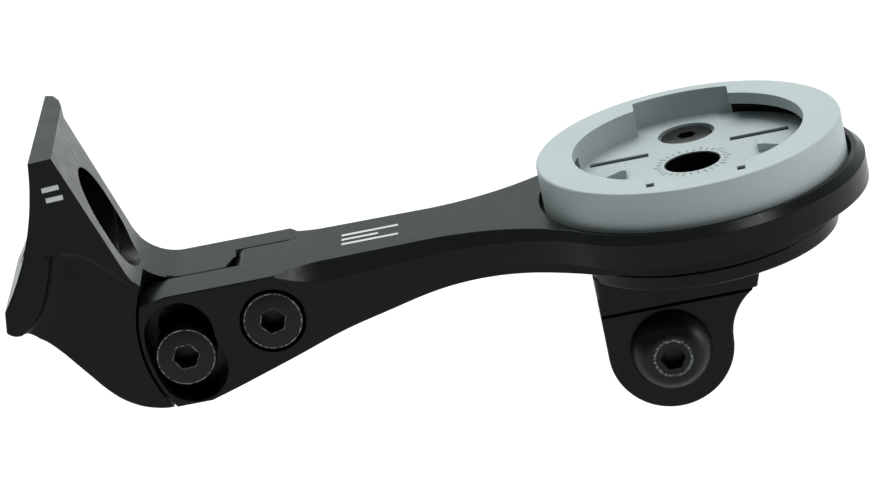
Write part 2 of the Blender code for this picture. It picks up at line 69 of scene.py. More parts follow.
STRIP = ((-28.3, 4.75), (-27.1, 5.9), (-25.9, 7.3), (-24.9, 9.2), (-24.0, 11.4), (-23.4, 13.2))
SCOOP = ((-23.0, 13.6), (-22.2, 13.75), (-21.3, 13.6), (-19.8, 12.9), (-18.5, 11.8),
         (-17.1, 10.2), (-16.0, 8.8), (-15.2, 8.0))
SEAT_R, SEAT_X = 5.6, -21.8
SEAT_LOWER_Z, LEDGE_X = 14.2, -16.9
SLOT_R = 2.75
SLOT_UPPER_Z, SLOT_LOWER_Z = 14.6, 13.1

# arm
CHEEK_HALF_WIDTH = 7.7
CHEEK_TO_X = 1.0
CHEEK_FAR_Y = -1.8
CHEEK_END_R = 15.6
CHEEK_BOTTOM_Z = -8.3
HUB_R, HUB_FAR_Y = 6.0, 3.5
NOTCH_R = 6.5
ARM_TOP_Z, ARM_BOTTOM_Z = 5.4, -0.9
NECK_HALF_WIDTH, NECK_X = 6.7, 20.0
HEAD_X = 51.34
FLANGE_R, FLANGE_BOTTOM_Z = 20.0, 1.6
EDGE_BREAK, NECK_CHAMFER, RIM_CHAMFER = 0.15, 1.85, 0.9
CHAMFER_FULL_X, CHAMFER_FADE = 7.0, 30.0
LOWER_TOP_R, LOWER_BOTTOM_R = 16.0, 16.2
RECESS_R, RECESS_FLOOR_Z = 18.5, 3.6

# screws
M4_HEAD_R, M4_HEAD_H, M4_R = 3.5, 4.0, 2.0
M4_CLEAR_R = 2.3
LOCK_RADIUS, LOCK_ANGLE = 11.1, 192.1
SLOT_UP, SLOT_DOWN = 14.0, 9.0
COUNTERBORE_R = 3.9
LOCK_SEAT_R, LOCK_SLOT_R = 4.1, 2.6
HEAD_PROUD = 0.1
HEX_AF, HEX_DEPTH = 2.6, 2.2
HEX_LEAD, HEX_RIM = 0.16, 0.16
M3_HEX_AF, M3_HEX_DEPTH = 2.0, 1.1
# RIM_PROUD and RIM_THICK place the thin bright rings of painted highlight on the screw heads; HEX_RIM
# is their width round the sockets.
RIM_PROUD, RIM_THICK = 0.02, 0.1

# insert
INSERT_R = 18.0
INSERT_TOP_Z, INSERT_FLOOR_Z = 9.95, 6.65
LIP_R, LIP_BOTTOM_Z = 13.65, 8.55
UNDERCUT_R = 16.1
NOTCH_FROM, NOTCH_TO = 65.0, 114.5
UNDERCUT_FROM = -17.0
CENTRE_HOLE_R = 3.35
INSERT_SCREW_Y = 10.4
M3_HEAD_R, M3_R = 3.1, 1.5
SLIT_Y, SLIT_HALF = 5.3, 0.6
SLIT_FROM, SLIT_TO = 4.9, 11.9
WEDGE_HALF = 1.3

# printed marks
TICKS, TICK_R = 30, 3.75
ARM_MARKS = ((12.6, 1.5, 3.4), (11.4, 0.0, 2.2), (12.6, -1.5, 3.4))
BRACKET_MARKS = ((-21.4, 21.5, 1.0), (-21.2, 20.2, 1.0))

# camera adapter
PLATE_R, PLATE_FROM_X, PLATE_BOTTOM_Z = 15.7, 37.4, -3.0
BLOCK_TO_X, BLOCK_HALF_Y, BLOCK_BOTTOM_Z = 53.5, 8.5, -5.0
BAR_TO_X, BAR_HALF_Y, BAR_BOTTOM_Z = 56.6, 8.8, -7.3
GROOVE_HEIGHT, GROOVE_DEPTH = 0.35, 0.7
EAR_CENTRE = (44.8, -12.9)
PRONG_R = 7.4
PRONGS = ((-7.7, -4.6), (-1.5, 1.5), (4.6, 7.7))
PRONG_FLARE_R, PRONG_FLARE_Z = 6.8, -13.4
M5_R, M5_CLEAR_R, M5_HEAD_R, M5_HEAD_H = 2.5, 2.8, 4.75, 2.7
NUT_AF, NUT_H = 8.0, 4.0


# ---- meshes ----------------------------------------------------------------------------------

def solid(bm, name="tool"):
    bmesh.ops.recalc_face_normals(bm, faces=bm.faces)
    if bm.calc_volume(signed=True) < 0:
        bmesh.ops.reverse_faces(bm, faces=bm.faces)
    mesh = bpy.data.meshes.new(name)
    bm.to_mesh(mesh)
    bm.free()
    obj = bpy.data.objects.new(name, mesh)
    bpy.context.collection.objects.link(obj)
    return obj


def combine(target, tool, operation):
    mod = target.modifiers.new("combine", "BOOLEAN")
    mod.object = tool
    mod.operation = operation
    mod.solver = "EXACT"
    graph = bpy.context.evaluated_depsgraph_get()
    mesh = bpy.data.meshes.new_from_object(target.evaluated_get(graph))
    target.modifiers.clear()
    target.data = mesh
    bpy.data.objects.remove(tool, do_unlink=True)
    return target


def cut(target, *tools):
    for tool in tools:
        combine(target, tool, "DIFFERENCE")
    return target


def join(target, *tools):
    for tool in tools:
        combine(target, tool, "UNION")
    return target


def arc(cx, cy, r, start, end, steps):
    """Points on a circle from start to end, in degrees."""
    points = []
    for i in range(steps + 1):
        a = radians(start + (end - start) * i / steps)
        points.append((cx + r * cos(a), cy + r * sin(a)))
    return points


def arc_through(a, b, c, steps):
    """Points on the circle that passes through a, b and c, from a to c."""
    ax, ay = a
    bx, by = b
    cx, cy = c
    d = 2 * (ax * (by - cy) + bx * (cy - ay) + cx * (ay - by))
    a2, b2, c2 = ax * ax + ay * ay, bx * bx + by * by, cx * cx + cy * cy
    ux = (a2 * (by - cy) + b2 * (cy - ay) + c2 * (ay - by)) / d
    uy = (a2 * (cx - bx) + b2 * (ax - cx) + c2 * (bx - ax)) / d
    start = degrees(atan2(ay - uy, ax - ux))
    end = degrees(atan2(cy - uy, cx - ux))
    turn = (end - start + 180) % 360 - 180
    return arc(ux, uy, hypot(ax - ux, ay - uy), start, start + turn, steps)


def smooth_line(points, steps):
    """Catmull-Rom curve through points."""
    ext = [points[0]] + list(points) + [points[-1]]
    out = []
    for i in range(1, len(ext) - 2):
        p0, p1, p2, p3 = (Vector(ext[i + k]) for k in (-1, 0, 1, 2))
        for s in range(steps):
            t = s / steps
            q = 0.5 * (2 * p1 + (p2 - p0) * t + (2 * p0 - 5 * p1 + 4 * p2 - p3) * t * t
                       + (3 * p1 - p0 - 3 * p2 + p3) * t ** 3)
            out.append(tuple(q))
    out.append(tuple(points[-1]))
    return out


def stacked(loops):
    """Skins closed loops of (x, y, z) points, all with the same number of points."""
    bm = bmesh.new()
    rings = [[bm.verts.new(point) for point in loop] for loop in loops]
    bm.faces.new(rings[0])
    bm.faces.new(rings[-1])
    for lower, upper in zip(rings, rings[1:]):
        for i in range(len(lower)):
            j = (i + 1) % len(lower)
            bm.faces.new((lower[i], lower[j], upper[j], upper[i]))
    return solid(bm)


def level(outline, h, axis="Z"):
    if axis == "Z":
        return [(u, v, h) for u, v in outline]
    if axis == "Y":
        return [(u, h, v) for u, v in outline]
    return [(h, u, v) for u, v in outline]


def inset(outline, amounts):
    """Moves each point of an outline in, square to it, by its own amount."""
    area = 0
    for (x0, y0), (x1, y1) in zip(outline, outline[1:] + outline[:1]):
        area += x0 * y1 - x1 * y0
    side = 1 if area > 0 else -1
    moved = []
    for i, (x, y) in enumerate(outline):
        here = Vector((x, y))
        a = (here - Vector(outline[i - 1])).normalized()
        b = (Vector(outline[(i + 1) % len(outline)]) - here).normalized()
        na, nb = Vector((-a.y, a.x)), Vector((-b.y, b.x))
        shift = (na + nb) / max(1 + na.dot(nb), 0.4)
        moved.append(tuple(here + shift * side * amounts[i]))
    return moved


def prism(outline, low, high, axis="Z"):
    return stacked([level(outline, low, axis), level(outline, high, axis)])


def slab(outline, low, high, axis="Z", low_r=0.0, high_r=0.0, steps=3):
    """A prism whose two end edges are rounded with the given radii."""
    loops = []
    for end, r, sign in ((low, low_r, 1), (high, high_r, -1)):
        part = []
        for k in range(steps + 1 if r > 0 else 1):
            a = radians(90 * k / steps)
            shrink = r * (1 - sin(a)) if r > 0 else 0.0
            rise = r * (1 - cos(a)) if r > 0 else 0.0
            moved = inset(outline, [shrink] * len(outline)) if shrink > 1e-6 else outline
            part.append(level(moved, end + sign * rise, axis))
        loops += part if sign > 0 else part[::-1]
    return stacked(loops)


def turned(profile, steps, centre, axis="Z"):
    """Spins a closed (radius, height) outline about an axis through centre."""
    bm = bmesh.new()
    rings = []
    for r, h in profile:
        if r < 1e-6:
            rings.append([bm.verts.new((0, 0, h))])
        else:
            ring = []
            for i in range(steps):
                a = 2 * pi * i / steps
                ring.append(bm.verts.new((r * cos(a), r * sin(a), h)))
            rings.append(ring)
    for k, ring in enumerate(rings):
        other = rings[(k + 1) % len(rings)]
        for i in range(steps):
            j = (i + 1) % steps
            corners = []
            for vert in (ring[i % len(ring)], ring[j % len(ring)],
                         other[j % len(other)], other[i % len(other)]):
                if vert not in corners:
                    corners.append(vert)
            if len(corners) > 2:
                bm.faces.new(corners)
    if axis == "Y":
        bmesh.ops.rotate(bm, verts=bm.verts, matrix=Matrix.Rotation(radians(-90), 3, "X"))
    bmesh.ops.translate(bm, verts=bm.verts, vec=Vector(centre))
    return solid(bm)


def rod(r, low, high, x, other, axis="Y", steps=64):
    return prism(arc(x, other, r, 0, 360, steps)[:-1], low, high, axis)


def curved_slot(r, low, high, steps=32):
    first = LOCK_ANGLE - SLOT_UP
    last = LOCK_ANGLE + SLOT_DOWN
    points = arc(0, 0, LOCK_RADIUS + r, first, last, steps)
    lx, lz = LOCK_RADIUS * cos(radians(last)), LOCK_RADIUS * sin(radians(last))
    points += arc(lx, lz, r, last, last + 180, steps)[1:]
    points += arc(0, 0, LOCK_RADIUS - r, last, first, steps)[1:]
    fx, fz = LOCK_RADIUS * cos(radians(first)), LOCK_RADIUS * sin(radians(first))
    points += arc(fx, fz, r, first + 180, first + 360, steps)[1:-1]
    return prism(points, low, high, "Y")


def hexagon(across_flats, x, z, turn=0.0):
    return arc(x, z, across_flats / sqrt(3), turn, turn + 300, 5)


def piece(obj, name, mat, slot_name, body, *nodes, sharp=35):
    """Scales a finished piece to metres, shades it and makes it ride on its CAD body."""
    obj.name = name
    obj.data.name = name
    obj.data.transform(Matrix.Translation(PIVOT) @ Matrix.Scale(MM, 4))
    bm = bmesh.new()
    bm.from_mesh(obj.data)
    bmesh.ops.remove_doubles(bm, verts=bm.verts, dist=0.000001)
    bmesh.ops.dissolve_degenerate(bm, edges=bm.edges, dist=0.000001)
    bm.to_mesh(obj.data)
    bm.free()
    obj.data.materials.clear()
    obj.data.materials.append(mat)
    obj.data.shade_smooth()
    obj.data.set_sharp_from_angle(angle=radians(sharp))
    weighted = obj.modifiers.new("even_normals", "WEIGHTED_NORMAL")
    weighted.keep_sharp = True
    weighted.weight = 80
    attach(obj, body)
    if nodes:
        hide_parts(*nodes)
    return obj


# ---- materials -------------------------------------------------------------------------------

def new_material(name):
    mat = bpy.data.materials.new(name)
    mat.use_nodes = True
    return mat, mat.node_tree.nodes, mat.node_tree.links, mat.node_tree.nodes["Principled BSDF"]


def coordinates(nodes):
    return nodes.new("ShaderNodeTexCoord").outputs["Object"]


def noise(nodes, links, scale, detail, rough=0.55):
    tex = nodes.new("ShaderNodeTexNoise")
    tex.inputs["Scale"].default_value = scale
    tex.inputs["Detail"].default_value = detail
    tex.inputs["Roughness"].default_value = rough
    links.new(coordinates(nodes), tex.inputs["Vector"])
    return tex.outputs["Fac"]


def ramp(nodes, links, source, stops):
    node = nodes.new("ShaderNodeValToRGB")
    elements = node.color_ramp.elements
    while len(elements) < len(stops):
        elements.new(0.5)
    for element, (place, color) in zip(elements, stops):
        element.position = place
        element.color = (*color, 1.0)
    links.new(source, node.inputs["Fac"])
    return node.outputs["Color"]


def remap(nodes, links, source, low, high, from_low=0.3, from_high=0.7):
    node = nodes.new("ShaderNodeMapRange")
    node.inputs["From Min"].default_value = from_low
    node.inputs["From Max"].default_value = from_high
    node.inputs["To Min"].default_value = low
    node.inputs["To Max"].default_value = high
    links.new(source, node.inputs["Value"])
    return node.outputs["Result"]


def soft_edges(nodes, links, radius, height=None, strength=0.0, distance=0.00001):
    """Normal with micro-rounded edges, with an optional fine bump on top."""
    edge = nodes.new("ShaderNodeBevel")
    edge.samples = 4
    edge.inputs["Radius"].default_value = radius
    if height is None:
        return edge.outputs["Normal"]
    bump = nodes.new("ShaderNodeBump")
    bump.inputs["Strength"].default_value = strength
    bump.inputs["Distance"].default_value = distance
    links.new(height, bump.inputs["Height"])
    links.new(edge.outputs["Normal"], bump.inputs["Normal"])
    return bump.outputs["Normal"]


def anodised(name, dark, light, rough, ior, edge=0.00012):
    mat, nodes, links, shader = new_material(name)
    cloud = noise(nodes, links, 160, 3)
    links.new(ramp(nodes, links, cloud, ((0.3, dark), (0.7, light))), shader.inputs["Base Color"])
    grain = noise(nodes, links, 9000, 2, 0.6)
    smear = noise(nodes, links, 420, 4, 0.6)
    links.new(remap(nodes, links, smear, rough - 0.04, rough + 0.06), shader.inputs["Roughness"])
    shader.inputs["IOR"].default_value = ior
    links.new(soft_edges(nodes, links, edge, grain, 0.12), shader.inputs["Normal"])
    return mat


def moulded(name, dark, light, rough):
    mat, nodes, links, shader = new_material(name)
    cloud = noise(nodes, links, 90, 3)
    links.new(ramp(nodes, links, cloud, ((0.3, dark), (0.7, light))), shader.inputs["Base Color"])
    grain = noise(nodes, links, 5200, 3, 0.6)
    links.new(remap(nodes, links, grain, rough - 0.05, rough + 0.07), shader.inputs["Roughness"])
    shader.inputs["IOR"].default_value = 1.46
    links.new(soft_edges(nodes, links, 0.00015, grain, 0.10), shader.inputs["Normal"])
    return mat


def oxide(name, dark, light, rough):
    mat, nodes, links, shader = new_material(name)
    cloud = noise(nodes, links, 1400, 4)
    links.new(ramp(nodes, links, cloud, ((0.3, dark), (0.7, light))), shader.inputs["Base Color"])
    links.new(remap(nodes, links, cloud, rough - 0.05, rough + 0.08), shader.inputs["Roughness"])
    shader.inputs["IOR"].default_value = 1.28
    links.new(soft_edges(nodes, links, 0.0001, cloud, 0.15), shader.inputs["Normal"])
    return mat


def painted_rim_highlight(name):
    """Painted highlight: bright, mottled steel on the thin ring edges of the screw heads, standing in
    for the light they catch.
    """
    mat, nodes, links, shader = new_material(name)
    wear = noise(nodes, links, 2600, 3)
    links.new(ramp(nodes, links, wear, ((0.42, (0.02, 0.02, 0.021)), (0.66, (0.20, 0.21, 0.21)))),
              shader.inputs["Base Color"])
    links.new(remap(nodes, links, wear, 0.28, 0.4), shader.inputs["Roughness"])
    shader.inputs["Metallic"].default_value = 0.8
    return mat


BLACK = anodised("black_anodised_v", (0.0030, 0.0036, 0.0038), (0.0044, 0.0052, 0.0054), 0.27, 1.23)
GREY = moulded("grey_moulded_v", (0.35, 0.40, 0.40), (0.375, 0.425, 0.425), 0.45)
STEEL = oxide("black_oxide_v", (0.0035, 0.0036, 0.0037), (0.0062, 0.0064, 0.0066), 0.34)
# RIM paints bright highlights on the edges of the screw heads and round their sockets.
RIM = painted_rim_highlight("bright_rim_v")
MARK = moulded("pale_mark_v", (0.50, 0.52, 0.52), (0.60, 0.62, 0.62), 0.5)
TICK = moulded("tick_v", (0.20, 0.23, 0.23), (0.26, 0.29, 0.29), 0.5)


# ---- bracket ---------------------------------------------------------------------------------

def front_x(z):
    return FRONT_TOP_X + (TOP_Z - z) * FRONT_LEAN


def turn_front(obj):
    corner = Vector((FRONT_TOP_X, -FLANGE_HALF_WIDTH, 0))
    turn = Matrix.Rotation(radians(FRONT_TURN), 4, "Z")
    obj.data.transform(Matrix.Translation(corner) @ turn @ Matrix.Translation(-corner))
    return obj


def front_cutter():
    lean = degrees(atan2(1, FRONT_LEAN))
    centre_z = TONGUE_TOP_Z + TONGUE_FILLET
    centre_x = front_x(centre_z) + TONGUE_FILLET / sin(radians(lean))
    above = TOP_Z + 10
    outline = [(front_x(above), above)]
    outline += arc(centre_x, centre_z, TONGUE_FILLET, 270 - lean, 270, 24)
    outline += [(20.0, TONGUE_TOP_Z), (20.0, above)]
    return turn_front(prism(outline, -25.0, 25.0, "Y"))


def side_y(x):
    """Y of the upper part's near side."""
    return -FLANGE_HALF_WIDTH + max(x - SIDE_TAPER_FROM_X, 0) * SIDE_TAPER


def cove(side, points):
    """Concave fillet between the flange or the upper part and the lower body's side."""
    line = smooth_line(points, 5)
    loops = []
    for i, (x, z) in enumerate(line):
        ahead = Vector(line[min(i + 1, len(line) - 1)])
        behind = Vector(line[max(i - 1, 0)])
        along = (ahead - behind).normalized()
        away = Vector((along.y, -along.x))
        top = side_y(x) + 0.12 if side < 0 else FLANGE_HALF_WIDTH
        base = BODY_NEAR_Y if side < 0 else BODY_FAR_Y
        height = abs(top - base)
        wide = 1.4 * height
        ring = [(x - away.x * 0.6, base - side * 0.6, z - away.y * 0.6),
                (x - away.x * 0.6, top, z - away.y * 0.6)]
        for k in range(9):
            a = radians(90 * k / 8)
            t = wide * (1 - cos(a))
            ring.append((x + away.x * t, top - side * height * sin(a), z + away.y * t))
        ring.append((x + away.x * wide, base - side * 0.6, z + away.y * wide))
        loops.append(ring)
    return stacked(loops)


def make_bracket():
    side = [(-22.5, 14.5), (-8.0, 14.5), (HUB_CLEAR_R, 8.0), (HUB_CLEAR_R, -4.0), (-7.6, -7.6)]
    side += smooth_line(BELLY, 6) + [(-26.6, 9.0)]
    body = slab(side, BODY_NEAR_Y, BODY_FAR_Y, "Y", 0.3, 0.3)

    back = arc_through(*BACK_ARC, 48)
    foot = back[24:] + arc(-29.0, 6.3, 1.7, 215, 285, 12)
    foot += list(STRIP[1:]) + [(-24.0, 14.0), (-24.0, back[24][1])]
    join(body, slab(foot, -FLANGE_HALF_WIDTH, FLANGE_HALF_WIDTH, "Y", 0.25, 0.25))

    wing = [(FRONT_TOP_X, 8.6), (-20.8, 10.6), (-21.3, 13.2), (-22.2, 15.4)]
    outline = [(-32.0, -FLANGE_HALF_WIDTH), (SIDE_TAPER_FROM_X, -FLANGE_HALF_WIDTH),
               (-13.0, side_y(-13.0)), (-13.0, 8.1)] + wing
    outline += [(BACK_ARC[0][0], WING_TIP_Y), (-32.0, WING_TIP_Y)]
    wedge = prism(outline, 0.0, TOP_Z + 5, "Z")
    upper = back[:30] + list(SCOOP) + [(-14.0, 7.9), (-14.0, TOP_Z)]
    combine(wedge, prism(upper, -12.0, 20.0, "Y"), "INTERSECT")
    join(body, wedge)
    join(body, cove(-1, STRIP + ((-23.0, 14.4),)))
    join(body, cove(-1, ((-24.6, 13.3),) + SCOOP))
    cut(body, front_cutter())

    cut(body, rod(CHEEK_CLEAR_R, -12.0, TONGUE_NEAR_Y, 0, 0, steps=256))
    cut(body, rod(HUB_CLEAR_R, -12.5, EAR_NEAR_Y, 0, 0, steps=128))
    beyond_ear = prism([(-1.0, -12), (HUB_CLEAR_R + 2, -12), (HUB_CLEAR_R + 2, 9), (-1.0, 9)],
                       -12.0, 12.0, "Y")
    combine(beyond_ear, rod(EAR_R, -13.0, 13.0, 0, 0, steps=128), "DIFFERENCE")
    cut(body, beyond_ear)

    for y, x0, x1 in ((TONGUE_NEAR_Y, -13.5, 0.0), (EAR_NEAR_Y, -3.7, 6.5)):
        break_edge = [(y - 0.3, TONGUE_TOP_Z - 0.7), (y + 0.7, TONGUE_TOP_Z + 0.3),
                      (y - 0.3, TONGUE_TOP_Z + 0.3)]
        cut(body, prism(break_edge, x0, x1, "X"))
    cut(body, prism([(-5.0, -1.9), (-3.2, -1.9), (-3.2, 1.6), (-3.9, 1.6)], 2.0, 9.0, "Z"))

    for r, low_z, back_x in ((SEAT_R, SEAT_LOWER_Z, SEAT_X), (SEAT_R, SLOT_LOWER_Z, LEDGE_X),
                             (SLOT_R, SLOT_LOWER_Z, -50.0)):
        slot = arc(0, SLOT_UPPER_Z, r, 0, 180, 32) + arc(0, low_z, r, 180, 360, 32)
        cut(body, prism(slot, back_x, 0.0, "X"))

    lx, lz = lock_place()
    cut(body, rod(M4_R, -3.0, 7.0, lx, lz, steps=32))
    cut(body, rod(M4_R, 0.0, 12.0, 0, 0, steps=32))
    return body


def lock_place():
    a = radians(LOCK_ANGLE)
    return LOCK_RADIUS * cos(a), LOCK_RADIUS * sin(a)


# ---- arm -------------------------------------------------------------------------------------

def half_plan(head_r, half_width, steps=24):
    reach = HEAD_X - NECK_X
    rho = (reach ** 2 + half_width ** 2 - head_r ** 2) / (2 * (head_r - half_width))
    cy = half_width + rho
    touch = degrees(atan2(cy, -reach))
    flare = arc(NECK_X, cy, rho, -90, touch - 180, steps)
    head = arc(HEAD_X, 0, head_r, touch, 0, 3 * steps)
    return flare + head[1:]


def plan(head_r):
    start = [(-17.0, CHEEK_HALF_WIDTH), (CHEEK_TO_X, CHEEK_HALF_WIDTH)]
    taper = (CHEEK_HALF_WIDTH - NECK_HALF_WIDTH) / (NECK_X - CHEEK_TO_X)
    for k in range(1, 25):
        x = CHEEK_TO_X + 12.0 * k / 24
        start.append((x, CHEEK_HALF_WIDTH - taper * (x - CHEEK_TO_X)))
    far = start + half_plan(head_r, NECK_HALF_WIDTH)
    near = [(x, -y) for x, y in far[:-1]]
    return far + near[::-1]


def chamfer_at(x):
    if x <= CHEEK_TO_X:
        return EDGE_BREAK
    if x <= CHAMFER_FULL_X:
        way = (x - CHEEK_TO_X) / (CHAMFER_FULL_X - CHEEK_TO_X)
        return EDGE_BREAK + (NECK_CHAMFER - EDGE_BREAK) * sin(way * pi / 2)
    rest = min((x - CHAMFER_FULL_X) / CHAMFER_FADE, 1.0)
    return NECK_CHAMFER + (RIM_CHAMFER - NECK_CHAMFER) * rest


def make_arm():
    upper = plan(LOWER_TOP_R)
    lower = plan(LOWER_BOTTOM_R)
    body = stacked([level(lower, -12.0), level(lower, ARM_BOTTOM_Z),
                    level(upper, FLANGE_BOTTOM_Z), level(upper, FLANGE_BOTTOM_Z + 1)])

    full = plan(FLANGE_R)
    widths = [chamfer_at(x) for x, _ in full]
    edge = [(x, y, ARM_TOP_Z - c) for (x, y), c in zip(full, widths)]
    top = level(inset(full, widths), ARM_TOP_Z)
    join(body, stacked([level(full, FLANGE_BOTTOM_Z), edge, top]))

    low_angle = 180 + degrees(asin(-CHEEK_BOTTOM_Z / CHEEK_END_R))
    end = arc(0, 0, CHEEK_END_R, 162, low_angle, 64)
    bottom = ((-9.0, CHEEK_BOTTOM_Z), (-5.0, -7.1), (2.0, -4.85), (8.0, -2.95), (14.0, -1.6),
              (18.0, -0.75), (22.0, -0.22), (26.0, 0.0), (30.0, -0.08), (34.0, -0.42),
              (38.5, ARM_BOTTOM_Z))
    side = [(-11.8, ARM_TOP_Z)] + end + smooth_line(bottom, 6)
    side += [(80.0, ARM_BOTTOM_Z), (80.0, 12.0), (-11.8, 12.0)]
    combine(body, prism(side, -30, 30, "Y"), "INTERSECT")

    cut(body, rod(RECESS_R, RECESS_FLOOR_Z, 12, HEAD_X, 0, "Z", 192))

    lap_cutter = prism([(-20, -12), (-20, 8), (0, 8), (0, -12)], CHEEK_FAR_Y, 12, "Y")
    combine(lap_cutter, rod(HUB_R, -12, HUB_FAR_Y, 0, 0, steps=128), "DIFFERENCE")
    cut(body, lap_cutter)
    cut(body, rod(NOTCH_R, HUB_FAR_Y, 12, 0, 0, steps=128))

    cut(body, rod(M4_CLEAR_R, -12, 12, 0, 0, steps=48))
    seat_y = -CHEEK_HALF_WIDTH - HEAD_PROUD + M4_HEAD_H + GAP
    cut(body, rod(COUNTERBORE_R, -12, seat_y, 0, 0, steps=96))
    cut(body, curved_slot(LOCK_SEAT_R, -12, seat_y))
    cut(body, curved_slot(LOCK_SLOT_R, -12, 12))
    for y in (-INSERT_SCREW_Y, INSERT_SCREW_Y):
        cut(body, rod(M3_R + GAP, -6, 8, HEAD_X, y, "Z", 32))
    return body


# ---- screws ----------------------------------------------------------------------------------

def cap_screw(x, z, step_y, tip_y, turn):
    top = -CHEEK_HALF_WIDTH - HEAD_PROUD
    seat = top + M4_HEAD_H
    r = M4_HEAD_R
    profile = [(0, top), (r - 0.14, top), (r - 0.04, top + 0.04), (r, top + 0.14), (r, seat),
               (M4_R, seat), (M4_R, step_y), (M4_R - GAP, step_y), (M4_R - GAP, tip_y), (0, tip_y)]
    screw = turned(profile, 96, (x, 0, z), "Y")
    hexa = hexagon(HEX_AF, x, z, turn)
    wide = hexagon(HEX_AF + HEX_LEAD, x, z, turn)
    funnel = stacked([level(wide, top - 0.05, "Y"), level(hexa, top + 0.05, "Y"),
                      level(hexa, top + HEX_DEPTH, "Y")])
    return cut(screw, funnel)


def ring_y(x, z, r_in, r_out, y):
    """A thin bright ring across Y, let into the face of a screw head, as a painted highlight on its
    edge.
    """
    outline = ((r_in, y), (r_in, y + RIM_THICK), (r_out, y + RIM_THICK), (r_out, y))
    return turned(outline, 96, (x, 0, z), "Y")


def hex_rim(x, z, turn, y):
    """A thin bright hexagon round a socket's mouth, as a painted highlight on its edge."""
    inner = HEX_AF + HEX_LEAD
    outer = prism(hexagon(inner + HEX_RIM, x, z, turn), y, y + RIM_THICK, "Y")
    return cut(outer, prism(hexagon(inner, x, z, turn), y - 1, y + 1, "Y"))


def insert_screw(y):
    top = INSERT_FLOOR_Z - 0.2
    cone = M3_HEAD_R - M3_R
    profile = ((0, top), (M3_HEAD_R - 0.15, top), (M3_HEAD_R, top - 0.1),
               (M3_HEAD_R, top - 0.2), (M3_R, top - 0.2 - cone),
               (M3_R, PLATE_BOTTOM_Z + 0.4), (0, PLATE_BOTTOM_Z + 0.4))
    screw = turned(profile, 64, (HEAD_X, y, 0))
    socket = hexagon(M3_HEX_AF, HEAD_X, y)
    return cut(screw, prism(socket, top - M3_HEX_DEPTH, top + 1, "Z"))


# ---- insert ----------------------------------------------------------------------------------

def stepped_cavity(levels, rings_in, step, x):
    """Each ring is a list of (radius, start, end) arcs, with the same number of arcs in each."""
    rings = []
    for arcs in rings_in:
        ring = []
        for k, (r, start, end) in enumerate(arcs):
            nominal = rings_in[0][k]
            ring += arc(x, 0, r, start, end, max(2, round((nominal[2] - nominal[1]) / step)))
        rings.append(ring)
    bm = bmesh.new()
    loops = []
    for k, ring in enumerate(rings):
        for h in levels[k:k + 2]:
            loops.append([bm.verts.new((px, py, h)) for px, py in ring])
    count = len(rings[0])
    bm.faces.new(loops[0])
    bm.faces.new(loops[-1])
    for lower, upper in zip(loops, loops[1:]):
        for i in range(count):
            j = (i + 1) % count
            bm.faces.new((lower[i], lower[j], upper[j], upper[i]))
    bmesh.ops.remove_doubles(bm, verts=bm.verts, dist=0.001)
    return solid(bm)


def make_insert():
    bottom = RECESS_FLOOR_Z + GAP
    r = INSERT_R
    profile = [(0, bottom), (r - 0.2, bottom), (r, bottom + 0.2), (r, INSERT_TOP_Z - 0.3)]
    profile += [(r - 0.3 + 0.3 * cos(radians(a)), INSERT_TOP_Z - 0.3 + 0.3 * sin(radians(a)))
                for a in (30, 60, 90)]
    profile += [(0, INSERT_TOP_Z)]
    body = turned(profile, 192, (HEAD_X, 0, 0))
    under, lip = [], []
    wide_from = degrees(acos(LIP_R / UNDERCUT_R * cos(radians(NOTCH_FROM))))
    wide_to = degrees(acos(LIP_R / UNDERCUT_R * cos(radians(NOTCH_TO))))
    for turn in (0, 180):
        first, second, third = (turn + a for a in (UNDERCUT_FROM, NOTCH_FROM, NOTCH_TO))
        last = turn + 180 + UNDERCUT_FROM
        under += [(UNDERCUT_R, first, second), (UNDERCUT_R, second, turn + wide_to),
                  (LIP_R, third, last)]
        lip += [(LIP_R, first, second), (UNDERCUT_R, turn + wide_from, turn + wide_to),
                (LIP_R, third, last)]
    levels = (INSERT_FLOOR_Z, LIP_BOTTOM_Z, INSERT_TOP_Z + 2)
    cut(body, stepped_cavity(levels, (under, lip), 2, HEAD_X))

    for side in (-1, 1):
        for y in (-SLIT_Y, SLIT_Y):
            x0, x1 = HEAD_X + side * SLIT_FROM, HEAD_X + side * SLIT_TO
            slit = [(x0, y - SLIT_HALF), (x1, y - SLIT_HALF),
                    (x1, y + SLIT_HALF), (x0, y + SLIT_HALF)]
            cut(body, prism(slit, 0, INSERT_FLOOR_Z + 1, "Z"))
        base = INSERT_FLOOR_Z - 0.5
        wedge = [(HEAD_X + side * u, v) for u, v in
                 ((7.8, base), (7.8, INSERT_FLOOR_Z + 1.0), (8.4, INSERT_FLOOR_Z + 1.0),
                  (11.9, INSERT_FLOOR_Z + 0.1), (11.9, base))]
        join(body, prism(wedge, -WEDGE_HALF, WEDGE_HALF, "Y"))

    cut(body, rod(CENTRE_HOLE_R, 0, 12, HEAD_X, 0, "Z", 96))
    top = INSERT_FLOOR_Z
    hole = M3_R + GAP
    wide = M3_HEAD_R + GAP
    for y in (-INSERT_SCREW_Y, INSERT_SCREW_Y):
        profile = ((0, -1), (hole, -1), (hole, top - 0.5 - (wide - hole)), (wide, top - 0.5),
                   (wide, top + 1), (0, top + 1))
        cut(body, turned(profile, 64, (HEAD_X, y, 0)))
    return body


# ---- camera adapter --------------------------------------------------------------------------

def painted_undercut_shade(turn):
    """Black band of painted shade lining the undercut behind one lip, where the grey wall is only in
    shadow.
    """
    first, last = turn + UNDERCUT_FROM + 1, turn + NOTCH_FROM + 3
    outer = arc(HEAD_X, 0, UNDERCUT_R - 0.02, first, last, 48)
    inner = arc(HEAD_X, 0, UNDERCUT_R - 0.12, last, first, 48)
    return prism(outer + inner, INSERT_FLOOR_Z + 0.02, LIP_BOTTOM_Z - 0.02)


